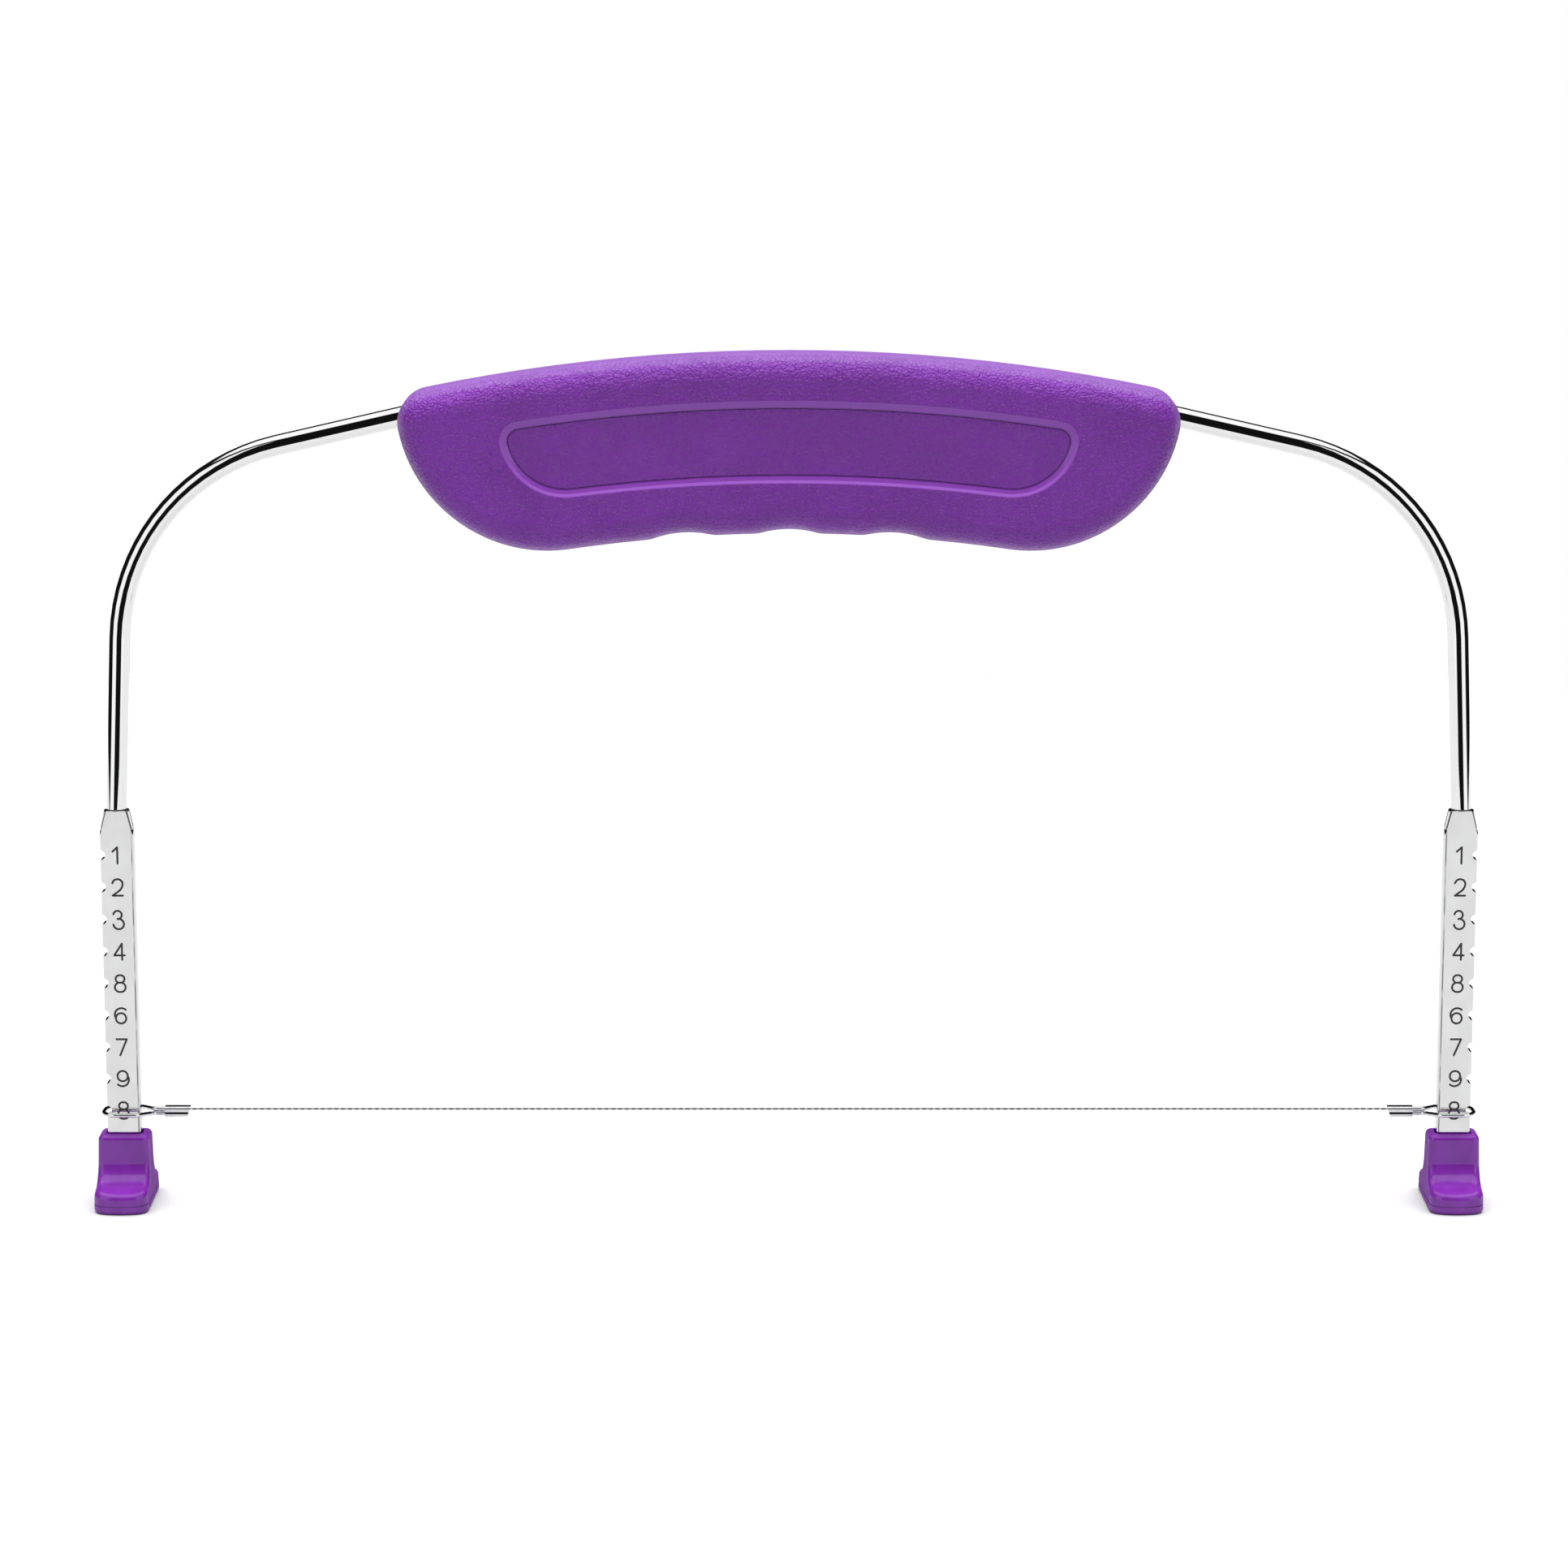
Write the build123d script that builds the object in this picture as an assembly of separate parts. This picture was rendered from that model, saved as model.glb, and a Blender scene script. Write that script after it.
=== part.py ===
from build123d import *
import math
import os

# Adjustable cake leveler: an arched steel frame on two feet, a grip shell over the arch and a
# cutting wire hooked between two notched legs. Millimetres. X runs from the left leg to the right
# leg, Y away from the side that is looked at, Z up from the soles, and the origin lies midway.

# Arched rod
leg_spacing = 265.4
rod_diameter = 4.0
leg_lean = 2.5  # degrees
arch_bend_radius = 40.6
arm_slope = 12.9  # degrees
grip_bend_radius = 30.0
grip_bend_inset = 8.0
spigot_diameter = 2.0
spigot_length = 8.0
spigot_clearance = 0.02

# Notched leg bars
bar_width = 6.6
bar_depth = 3.3
bar_edge_radius = 0.5
bar_head_height = 8.9
shoulder_radius = 2.5
shoulder_height = 4.8
notch_count = 9
notch_spacing = 6.5
lowest_notch_height = 19.1
notch_radius = 1.0
notch_lip_radius = 0.2

# Stamped figures, one beside each notch, read from the top
figures = "1 2 3 4 8 6 7 9 8"
figure_width = 2.2
figure_height = 3.4
figure_stroke = 0.4
figure_depth = 0.18

# Grip, as it is seen from the front
grip_palm_height = 135.5
grip_crown_height = 35.0
crown_radius = 352.0
palm_radius = 295.0
lobe_spread = 94.0
lobe_radius = 29.3
grip_corner_radius = 6.4
groove_spacing = 19.4
groove_span = 11.6
groove_depth = 0.85
lip_radius = 6.0
rod_below_crown = 11.0

# Grip shells
grip_thickness = 16.5
grip_edge_radius = 5.0
grip_wall = 2.6
rib_thickness = 2.0
rib_spacing = 40.0
rod_clearance = 0.05

# Panel let into the front shell
panel_margin = 8.6
panel_palm_margin = 10.3
panel_lobe_spread = 86.4
panel_lobe_radius = 13.0
panel_corner_radius = 4.0
panel_rim_width = 1.6
panel_rim_depth = 0.8
panel_lip_radius = 0.6
panel_thickness = 0.6
panel_clearance = 0.1

# Shell screws and locating pins
screw_spread = 92.0
screw_above_palm = 10.1
screw_diameter = 2.5
screw_length = 7.5
screw_clearance = 0.1
screw_head_diameter = 5.0
screw_head_height = 1.6
screw_head_clearance = 0.3
screw_shelf = 2.0
cross_width = 0.7
cross_length = 2.8
cross_depth = 0.9
boss_diameter = 8.0
pin_diameter = 3.0
pin_length = 2.0
pin_clearance = 0.05

# Feet
foot_height = 14.4
foot_draft = 1.6  # degrees
sole_width = 10.9
sole_length = 22.0
sole_bulge = 1.2
sole_corner_radius = 3.0
sole_edge_radius = 0.8
parting_height = 1.6
parting_width = 0.25
parting_depth = 0.15
toe_height = 3.9
instep_slope = 14.0  # degrees
instep_radius = 4.2
socket_depth = 7.0
socket_rim_radius = 1.1
socket_floor = 3.0
socket_clearance = 0.05
foot_edge_radius = 1.3
mouth_clearance = 0.35
mouth_depth = 1.5

# Cutting wire, end loops and crimped ferrules
wire_diameter = 0.45
wire_seat = 1.2
loop_wire_diameter = 0.85
loop_width = 6.3
loop_reach = 2.9
loop_corner_radius = 2.8
loop_neck_radius = 1.5
loop_neck_length = 2.6
loop_clearance = 0.3
loop_drop = 0.5
crimp_clearance = 0.02
ferrule_length = 5.1
ferrule_gap = 2.2
ferrule_depth = 1.8
ferrule_height = 2.1
ferrule_edge_radius = 0.3
ferrule_slant = 0.7

# One overrun serves every cut that passes a face
overrun = 1.0

# Places that follow from the sizes
leg_x = leg_spacing / 2
rod_radius = rod_diameter / 2
bar_top = lowest_notch_height + (notch_count - 1) * notch_spacing + bar_head_height
rod_level = grip_palm_height + grip_crown_height - rod_below_crown
loop_height = lowest_notch_height - loop_drop
strand_offset = loop_wire_diameter / 2
wire_height = loop_height + strand_offset
shell_depth = grip_thickness / 2
boss_height = grip_palm_height + screw_above_palm
panel_height = grip_crown_height - panel_margin - panel_palm_margin


def crossing(centre_a, radius_a, centre_b, radius_b):
    """The right-hand crossing of two circles, the second of which stands above the first."""
    span = centre_b - centre_a
    along = (span.length**2 + radius_a**2 - radius_b**2) / (2 * span.length)
    aside = math.sqrt(radius_a**2 - along**2)
    up = span.normalized()
    return centre_a + up * along + Vector(up.Y, -up.X) * aside


def mirrored(point):
    return Vector(-point.X, point.Y)


def arched_face(crown, crown_bow, lobe_x, lobe, palm, palm_bow, corner_radius, margin):
    """A crescent with a bowed top, two round lobes and a hollow lower edge, all of it drawn in
    by a margin."""
    palm_centre = Vector(0, palm - palm_bow)
    lobe_rise = math.sqrt((palm_bow + lobe) ** 2 - lobe_x**2)
    lobe_centre = palm_centre + Vector(lobe_x, lobe_rise)
    top_radius = crown_bow - margin
    end_radius = lobe - margin
    low_radius = palm_bow + margin
    corner = crossing(Vector(0, crown - crown_bow), top_radius, lobe_centre, end_radius)
    lobe_end = palm_centre + (lobe_centre - palm_centre).normalized() * low_radius
    edges = [
        RadiusArc(mirrored(corner), corner, top_radius),
        RadiusArc(corner, lobe_end, end_radius),
        RadiusArc(lobe_end, mirrored(lobe_end), -low_radius),
        RadiusArc(mirrored(lobe_end), mirrored(corner), end_radius),
    ]
    face = make_face(edges)
    return fillet(face.vertices().group_by(Axis.Y)[-1], corner_radius - margin)


def grip_face(margin):
    """The grip's outline with its three finger grooves and the round lips beside them."""
    crown = grip_palm_height + grip_crown_height
    face = arched_face(
        crown,
        crown_radius,
        lobe_spread / 2,
        lobe_radius,
        grip_palm_height,
        palm_radius,
        grip_corner_radius,
        margin,
    )
    groove_radius = ((groove_span / 2) ** 2 + groove_depth**2) / (2 * groove_depth)
    for step in (-1, 0, 1):
        x = step * groove_spacing
        roof = grip_palm_height - x**2 / (2 * palm_radius) + groove_depth
        face -= Pos(x, roof - groove_radius) * Circle(groove_radius + margin)
    lips_end = groove_spacing + groove_span
    lips_top = grip_palm_height + groove_depth + margin
    lips = [v for v in face.vertices() if abs(v.X) < lips_end and v.Y < lips_top]
    return fillet(lips, lip_radius - margin)


def rod_path():
    """The arched rod's centre line, from just below one leg bar's top to below the other's."""
    bend_x = lobe_spread / 2 + lobe_radius - grip_bend_inset
    lean = math.tan(math.radians(leg_lean))
    slope = math.tan(math.radians(arm_slope))
    foot_x = leg_x + overrun * lean
    arm_drop = (leg_x + bar_top * lean - bend_x) * slope
    corner_height = (rod_level - arm_drop) / (1 - lean * slope)
    corner_x = leg_x - (corner_height - bar_top) * lean
    points = [
        (-foot_x, 0, bar_top - overrun),
        (-corner_x, 0, corner_height),
        (-bend_x, 0, rod_level),
        (bend_x, 0, rod_level),
        (corner_x, 0, corner_height),
        (foot_x, 0, bar_top - overrun),
    ]
    radii = [arch_bend_radius, grip_bend_radius, grip_bend_radius, arch_bend_radius]
    return FilletPolyline(*points, radius=radii)


def swept_rod(radius):
    path = rod_path()
    return sweep(Plane(origin=path @ 0, z_dir=path % 0) * Circle(radius), path=path)


def frame_rod():
    """The arched rod, cut level where it stands on the leg bars, with a spigot at each end."""
    rod = split(swept_rod(rod_radius), Plane.XY.offset(bar_top))
    for side in (-1, 1):
        spigot = Cylinder(spigot_diameter / 2, 2 * spigot_length)
        rod += Pos(side * leg_x, 0, bar_top) * spigot
    return rod


# Each figure's strokes as shares of its width and height: two places make a straight stroke and
# three make an arc through them
figure_stroke_shares = {
    "1": [((0.12, 0.72), (0.55, 0.98)), ((0.55, 0.98), (0.55, 0.02))],
    "2": [
        ((0.04, 0.76), (0.5, 1.0), (0.96, 0.72)),
        ((0.96, 0.72), (0.84, 0.46), (0.5, 0.24)),
        ((0.5, 0.24), (0.04, 0.02)),
        ((0.04, 0.02), (0.96, 0.02)),
    ],
    "3": [
        ((0.06, 0.82), (0.76, 0.9), (0.42, 0.54)),
        ((0.42, 0.54), (0.98, 0.28), (0.04, 0.2)),
    ],
    "4": [((0.74, 0.02), (0.74, 0.98)), ((0.74, 0.98), (0.04, 0.28)), ((0.04, 0.28), (0.98, 0.28))],
    "6": [
        ((0.94, 0.84), (0.36, 0.92), (0.04, 0.34)),
        ((0.04, 0.34), (0.5, 0.64), (0.96, 0.34)),
        ((0.96, 0.34), (0.5, 0.02), (0.04, 0.34)),
    ],
    "7": [((0.04, 0.98), (0.96, 0.98)), ((0.96, 0.98), (0.34, 0.02))],
    "8": [
        ((0.5, 0.56), (0.1, 0.78), (0.5, 1.0)),
        ((0.5, 1.0), (0.9, 0.78), (0.5, 0.56)),
        ((0.5, 0.56), (0.02, 0.28), (0.5, 0.0)),
        ((0.5, 0.0), (0.98, 0.28), (0.5, 0.56)),
    ],
    "9": [
        ((0.06, 0.16), (0.64, 0.08), (0.96, 0.66)),
        ((0.96, 0.66), (0.5, 0.36), (0.04, 0.66)),
        ((0.04, 0.66), (0.5, 0.98), (0.96, 0.66)),
    ],
}


def figure_face(figure):
    """One figure's strokes, centred on its middle."""
    face = Sketch()
    for stroke in figure_stroke_shares[figure]:
        places = [Vector(across * figure_width, up * figure_height) for across, up in stroke]
        line = Line(*places) if len(places) == 2 else ThreePointArc(*places)
        face += SlotArc(line, figure_stroke)
    return Pos(-figure_width / 2, -figure_height / 2) * face


def notch_heights():
    """Heights of the notches' middles, from the top one down."""
    return [lowest_notch_height + step * notch_spacing for step in reversed(range(notch_count))]


def bar_front_face(side):
    """The leg bar from the front, its outer edge notched and each notch's lips rounded."""
    bar_height = bar_top - socket_floor
    face = Pos(0, socket_floor + bar_height / 2) * Rectangle(bar_width, bar_height)
    edge_x = side * bar_width / 2
    for height in notch_heights():
        face -= Pos(edge_x, height) * Circle(notch_radius)
    lips = [v for v in face.vertices() if abs(v.X - edge_x) < notch_radius]
    lips = [v for v in lips if socket_floor < v.Y < bar_top]
    return fillet(lips, notch_lip_radius)


def leg_bar(side):
    """A flat bar with a turned shoulder, notches in its outer edge and figures on its front."""
    bar = extrude(Plane.XZ * bar_front_face(side), bar_depth / 2, both=True)
    bar &= extrude(RectangleRounded(bar_width, bar_depth, bar_edge_radius), bar_top)
    flat_width = bar_width - 2 * bar_edge_radius
    flat_depth = bar_depth - 2 * bar_edge_radius
    corner_reach = math.hypot(flat_width, flat_depth) / 2 + bar_edge_radius
    turned = Polyline(
        (0, 0),
        (corner_reach + overrun, 0),
        (corner_reach + overrun, bar_top - shoulder_height),
        (corner_reach, bar_top - shoulder_height),
        (shoulder_radius, bar_top),
        (0, bar_top),
        close=True,
    )
    bar &= revolve(Plane.XZ * make_face(turned), Axis.Z)
    bore = Cylinder(spigot_diameter / 2 + spigot_clearance, 2 * spigot_length)
    bar -= Pos(0, 0, bar_top) * bore
    face_plane = Plane.XZ.offset(bar_depth / 2 - figure_depth)
    for figure, height in zip(figures.split(), notch_heights()):
        stamp = face_plane * Pos(0, height) * figure_face(figure)
        bar -= extrude(stamp, figure_depth + overrun)
    return Pos(side * leg_x, 0, 0) * bar


def panel_face(margin):
    """Outline of the hollow that is let into the grip's front, bowed as the crown is."""
    top = grip_palm_height + grip_crown_height - panel_margin
    top_bow = crown_radius - panel_margin
    return arched_face(
        top,
        top_bow,
        panel_lobe_spread / 2,
        panel_lobe_radius,
        top - panel_height,
        top_bow - panel_height,
        panel_corner_radius,
        margin,
    )


def screw_places():
    """X and height of each shell screw's axis."""
    return [(side * screw_spread / 2, boss_height) for side in (-1, 0, 1)]


def pin_places():
    """X and height of each locating pin, on the two middle ribs."""
    return [(side * rib_spacing / 2, boss_height) for side in (-1, 1)]


def along_y(radius, near, far):
    """A cylinder along Y between two places on it."""
    return Pos(0, (near + far) / 2, 0) * Cylinder(radius, abs(far - near), rotation=(90, 0, 0))


def plain_shell():
    """The front half of the grip, hollow, with ribs that cradle the rod and screw bosses."""
    skin = extrude(Plane.XZ * grip_face(0), shell_depth)
    skin = fillet(skin.faces().sort_by(Axis.Y)[0].edges(), grip_edge_radius)
    hollow = extrude(Plane.XZ * grip_face(grip_wall), shell_depth - grip_wall)
    hollow = fillet(hollow.faces().sort_by(Axis.Y)[0].edges(), grip_edge_radius - grip_wall)
    fill = Part()
    for step in (-1.5, -0.5, 0.5, 1.5):
        slab = Box(rib_thickness, grip_thickness, 2 * grip_crown_height)
        fill += hollow & (Pos(step * rib_spacing, 0, rod_level) * slab)
    for x, z in screw_places() + pin_places():
        fill += hollow & (Pos(x, 0, z) * along_y(boss_diameter / 2, -shell_depth, 0))
    return skin - hollow + fill - swept_rod(rod_radius + rod_clearance)


def handle_front_shell():
    """The grip's front half with its panel hollow, screw pilots and locating pins."""
    shell = plain_shell()
    rim = Plane.XZ.offset(shell_depth)
    floor = rim.offset(-panel_rim_depth) * panel_face(panel_rim_width)
    shell -= loft([rim * panel_face(0), floor])
    front = shell.faces().sort_by(Axis.Y)[0]
    shell = fillet(front.inner_wires()[0].edges(), panel_lip_radius)
    shell -= extrude(floor, -panel_thickness)
    pilot_end = screw_shelf - screw_length - screw_clearance
    for x, z in screw_places():
        shell -= Pos(x, 0, z) * along_y(screw_diameter / 2 + screw_clearance, pilot_end, 0)
    for x, z in pin_places():
        shell += Pos(x, 0, z) * along_y(pin_diameter / 2, -pin_length, pin_length)
    return shell


def handle_rear_shell():
    """The grip's rear half with counterbored screw holes and the pins' sockets."""
    shell = mirror(plain_shell(), Plane.XZ)
    for x, z in screw_places():
        hole = along_y(screw_diameter / 2 + screw_clearance, 0, screw_shelf)
        well_radius = screw_head_diameter / 2 + screw_head_clearance
        shell -= Pos(x, 0, z) * hole
        shell -= Pos(x, 0, z) * along_y(well_radius, screw_shelf, shell_depth + overrun)
    socket_radius = pin_diameter / 2 + pin_clearance
    for x, z in pin_places():
        shell -= Pos(x, 0, z) * along_y(socket_radius, 0, pin_length + pin_clearance)
    return shell


def handle_panel():
    """The thin blank panel that lies in the front shell's pocket."""
    back = Plane.XZ.offset(shell_depth - panel_rim_depth - panel_thickness)
    return extrude(back * panel_face(panel_rim_width + panel_clearance), panel_thickness)


def shell_screw(x, z):
    """A pan-head screw with a cross recess, its thread left plain."""
    head_top = screw_shelf + screw_head_height
    screw = along_y(screw_diameter / 2, screw_shelf - screw_length, screw_shelf)
    head = along_y(screw_head_diameter / 2, screw_shelf, head_top)
    screw += fillet(head.edges().group_by(Axis.Y)[-1], screw_head_height / 2)
    for length, height in ((cross_length, cross_width), (cross_width, cross_length)):
        screw -= Pos(0, head_top, 0) * Box(length, 2 * cross_depth, height)
    return Pos(x, 0, z) * screw


def sole_face(margin):
    """Plan of the foot, its ends gently bowed, drawn in by a margin."""
    half_width = sole_width / 2 - margin
    half_length = sole_length / 2 - margin
    shoulder = half_length - sole_bulge
    edges = [
        Line((half_width, -shoulder), (half_width, shoulder)),
        ThreePointArc((half_width, shoulder), (0, half_length), (-half_width, shoulder)),
        Line((-half_width, shoulder), (-half_width, -shoulder)),
        ThreePointArc((-half_width, -shoulder), (0, -half_length), (half_width, -shoulder)),
    ]
    face = make_face(edges)
    return fillet(face.vertices(), sole_corner_radius)


def foot_side_face():
    """The foot from the side: two low toes that sweep up to the socket."""
    toe_y = sole_length / 2
    socket_y = socket_depth / 2
    corner_height = toe_height + (toe_y - socket_y) * math.tan(math.radians(instep_slope))
    points = [
        (-toe_y, 0),
        (-toe_y, toe_height),
        (-socket_y, corner_height),
        (-socket_y, foot_height),
        (socket_y, foot_height),
        (socket_y, corner_height),
        (toe_y, toe_height),
        (toe_y, 0),
    ]
    face = make_face(Polyline(*points, close=True))
    bends = [v for v in face.vertices() if toe_height < v.Y < foot_height]
    return fillet(bends, instep_radius)


def foot(side):
    """A push-on foot: a sole with two toes and a socket for the leg bar."""
    body = extrude(sole_face(0), foot_height, taper=foot_draft)
    body &= extrude(Plane.YZ * foot_side_face(), sole_width, both=True)
    toe_end = sole_length / 2 - sole_bulge
    crests = [
        e
        for e in body.edges()
        if toe_height < e.center().Z < foot_height - socket_rim_radius
        and (abs(e.center().X) > sole_width / 4 or abs(e.center().Y) > toe_end)
    ]
    body = fillet(crests, foot_edge_radius)
    body = fillet(body.edges().group_by(Axis.Z)[-1], socket_rim_radius)
    body = fillet(body.edges().group_by(Axis.Z)[0], sole_edge_radius)
    parting = extrude(sole_face(-overrun) - sole_face(parting_depth), parting_width)
    body -= Pos(0, 0, parting_height) * parting
    slot = RectangleRounded(
        bar_width + 2 * socket_clearance,
        bar_depth + 2 * socket_clearance,
        bar_edge_radius + socket_clearance,
    )
    mouth = RectangleRounded(
        bar_width + 2 * mouth_clearance,
        bar_depth + 2 * mouth_clearance,
        bar_edge_radius + mouth_clearance,
    )
    body -= Pos(0, 0, socket_floor) * extrude(slot, foot_height)
    body -= Pos(0, 0, foot_height - mouth_depth) * extrude(mouth, mouth_depth + overrun)
    return Pos(side * leg_x, 0, 0) * body


def loop_places():
    """X of the loop's outer strand, of its shoulders and of its neck, and of the ferrule's ends."""
    outer = leg_x + bar_width / 2 + loop_clearance + strand_offset
    shoulder = leg_x - loop_reach
    neck = shoulder - loop_neck_length - strand_offset
    ferrule_outer = neck - ferrule_gap
    ferrule_inner = ferrule_outer - ferrule_length
    return outer, shoulder, neck, ferrule_outer, ferrule_inner


def end_loop(side):
    """A wire eye round the leg bar, its two ends laid one on the other in the ferrule."""
    outer, shoulder, neck, ferrule_outer, ferrule_inner = loop_places()
    strand_y = (loop_width + loop_wire_diameter) / 2
    tail = ferrule_inner + 2 * wire_seat
    low, high = loop_height - strand_offset, loop_height + strand_offset
    points = [
        (side * tail, 0, low),
        (side * neck, 0, low),
        (side * shoulder, -strand_y, loop_height),
        (side * outer, -strand_y, loop_height),
        (side * outer, strand_y, loop_height),
        (side * shoulder, strand_y, loop_height),
        (side * neck, 0, high),
        (side * tail, 0, high),
    ]
    radii = [loop_neck_radius, loop_neck_radius, loop_corner_radius]
    path = FilletPolyline(*points, radius=radii + radii[::-1])
    start = Plane(origin=path @ 0, z_dir=path % 0)
    return sweep(start * Circle(loop_wire_diameter / 2), path=path)


def ferrule(side):
    """A flattened crimp sleeve over the loop's two ends and the cutting wire's end."""
    outer, shoulder, neck, ferrule_outer, ferrule_inner = loop_places()
    half_height = ferrule_height / 2
    front = make_face(
        Polyline(
            (side * ferrule_outer, -half_height),
            (side * ferrule_outer, half_height),
            (side * ferrule_inner, half_height),
            (side * (ferrule_inner + ferrule_slant), -half_height),
            close=True,
        )
    )
    sleeve = extrude(Plane.XZ * front, ferrule_depth / 2, both=True)
    sleeve = fillet(sleeve.edges().filter_by(Axis.X), ferrule_edge_radius)
    middle = (ferrule_outer + ferrule_inner) / 2
    tail = ferrule_inner + 2 * wire_seat
    for rise in (-strand_offset, strand_offset):
        bore = Cylinder(loop_wire_diameter / 2 + crimp_clearance, ferrule_length, rotation=(0, 90, 0))
        sleeve -= Pos(side * (tail - crimp_clearance + ferrule_length / 2), 0, rise) * bore
    bore = Cylinder(wire_diameter / 2 + crimp_clearance, ferrule_length, rotation=(0, 90, 0))
    sleeve -= Pos(side * middle, 0, strand_offset) * bore
    return Pos(0, 0, loop_height) * sleeve


def cutting_wire():
    """The taut cutting wire, from inside one ferrule to inside the other."""
    half_length = loop_places()[-1] + wire_seat
    return Pos(0, 0, wire_height) * Cylinder(wire_diameter / 2, 2 * half_length, rotation=(0, 90, 0))


parts = {
    "frame_rod": frame_rod(),
    "handle_front_shell": handle_front_shell(),
    "handle_rear_shell": handle_rear_shell(),
    "handle_panel": handle_panel(),
    "cutting_wire": cutting_wire(),
}
for name, (x, z) in zip(("left", "middle", "right"), screw_places()):
    parts["handle_screw_" + name] = shell_screw(x, z)
for name, side in (("left", -1), ("right", 1)):
    parts["leg_bar_" + name] = leg_bar(side)
    parts["foot_" + name] = foot(side)
    parts["wire_loop_" + name] = end_loop(side)
    parts["wire_ferrule_" + name] = ferrule(side)

os.makedirs("parts", exist_ok=True)
for name, part in parts.items():
    export_step(part, os.path.join("parts", name + ".step"))
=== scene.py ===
"""Finishes of an adjustable cake leveler: the plated arch and leg bars, the grained grip, the
glossy feet, and the twisted cutting wire with its crimp sleeves. Lengths are in metres in the
part's own frame."""

import math

import bpy
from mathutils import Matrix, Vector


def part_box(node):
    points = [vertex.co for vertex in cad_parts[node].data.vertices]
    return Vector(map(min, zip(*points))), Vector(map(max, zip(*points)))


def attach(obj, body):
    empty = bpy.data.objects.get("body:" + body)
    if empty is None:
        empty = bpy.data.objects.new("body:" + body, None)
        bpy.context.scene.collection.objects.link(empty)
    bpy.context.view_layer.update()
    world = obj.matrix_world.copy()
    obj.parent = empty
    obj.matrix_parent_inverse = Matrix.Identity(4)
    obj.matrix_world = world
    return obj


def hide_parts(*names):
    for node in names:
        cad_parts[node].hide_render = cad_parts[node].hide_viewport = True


bl_info = {
    "name": "Cake leveler finishes",
    "version": (1, 0, 0),
    "blender": (4, 5, 0),
    "location": "View3D > Sidebar > Leveler",
    "description": "Dresses the packed cake leveler and sets up its studio",
    "category": "Object",
}

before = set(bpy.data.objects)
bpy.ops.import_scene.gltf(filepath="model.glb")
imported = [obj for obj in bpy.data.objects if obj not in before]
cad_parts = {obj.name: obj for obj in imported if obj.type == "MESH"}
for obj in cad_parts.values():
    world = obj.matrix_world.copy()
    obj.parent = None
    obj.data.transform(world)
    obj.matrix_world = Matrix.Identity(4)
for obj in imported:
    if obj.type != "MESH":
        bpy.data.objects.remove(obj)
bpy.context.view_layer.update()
MM = 0.001
SIDES = (("left", -1), ("right", 1))
SENSOR_WIDTH = 36.0


# Sizes and colours


class GripLook(bpy.types.PropertyGroup):
    colour: bpy.props.FloatVectorProperty(
        name="Plastic colour",
        description="Body colour of the grip's moulded plastic",
        subtype="COLOR",
        size=3,
        min=0,
        max=1,
        default=(0.214, 0.0255, 0.410),
    )
    grain: bpy.props.FloatProperty(
        name="Grain size",
        description="Width of one cell of the leather-like grain",
        unit="LENGTH",
        default=0.9 * MM,
    )
    grain_depth: bpy.props.FloatProperty(
        name="Grain depth",
        description="Height of the grain from its creases to its cells",
        unit="LENGTH",
        default=0.25 * MM,
    )
    gloss_roughness: bpy.props.FloatProperty(
        name="Roughness",
        description="Roughness of the grained skin",
        subtype="FACTOR",
        min=0,
        max=1,
        default=0.26,
    )


class FootLook(bpy.types.PropertyGroup):
    colour: bpy.props.FloatVectorProperty(
        name="Foot colour",
        description="Body colour of the push-on feet",
        subtype="COLOR",
        size=3,
        min=0,
        max=1,
        default=(0.193, 0.025, 0.346),
    )
    gloss_roughness: bpy.props.FloatProperty(
        name="Roughness",
        description="Roughness of the smooth moulding",
        subtype="FACTOR",
        min=0,
        max=1,
        default=0.13,
    )


class MetalLook(bpy.types.PropertyGroup):
    chrome: bpy.props.FloatVectorProperty(
        name="Plating colour",
        description="Colour of the polished plating on the rod",
        subtype="COLOR",
        size=3,
        min=0,
        max=1,
        default=(0.90, 0.90, 0.905),
    )
    satin: bpy.props.FloatVectorProperty(
        name="Bar colour",
        description="Colour of the satin plating on the leg bars",
        subtype="COLOR",
        size=3,
        min=0,
        max=1,
        default=(0.81, 0.81, 0.815),
    )
    bar_lean: bpy.props.FloatProperty(
        name="Bar lean",
        description="How much the bars' rolled faces lean to the front, as a slope",
        default=0.028,
    )
    shoulder_lean: bpy.props.FloatProperty(
        name="Shoulder lean",
        description="How much the sides of the bars' shoulders turn to the front, as a slope",
        default=0.92,
    )
    joint_line: bpy.props.FloatProperty(
        name="Joint line",
        description="Height up to which the rod is dark where it meets the leg bars",
        unit="LENGTH",
        default=80.38 * MM,
    )
    steel: bpy.props.FloatVectorProperty(
        name="Wire colour",
        description="Colour of bare steel, from which the wire and its fittings take theirs",
        subtype="COLOR",
        size=3,
        min=0,
        max=1,
        default=(0.62, 0.62, 0.63),
    )
    strand_shade: bpy.props.FloatProperty(
        name="Strand shade",
        description="How much darker than bare steel the twisted strands are",
        default=0.5,
    )
    bright_shade: bpy.props.FloatProperty(
        name="Loop and sleeve shade",
        description="How much brighter than bare steel the loops and crimp sleeves are",
        default=1.4,
    )


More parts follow.
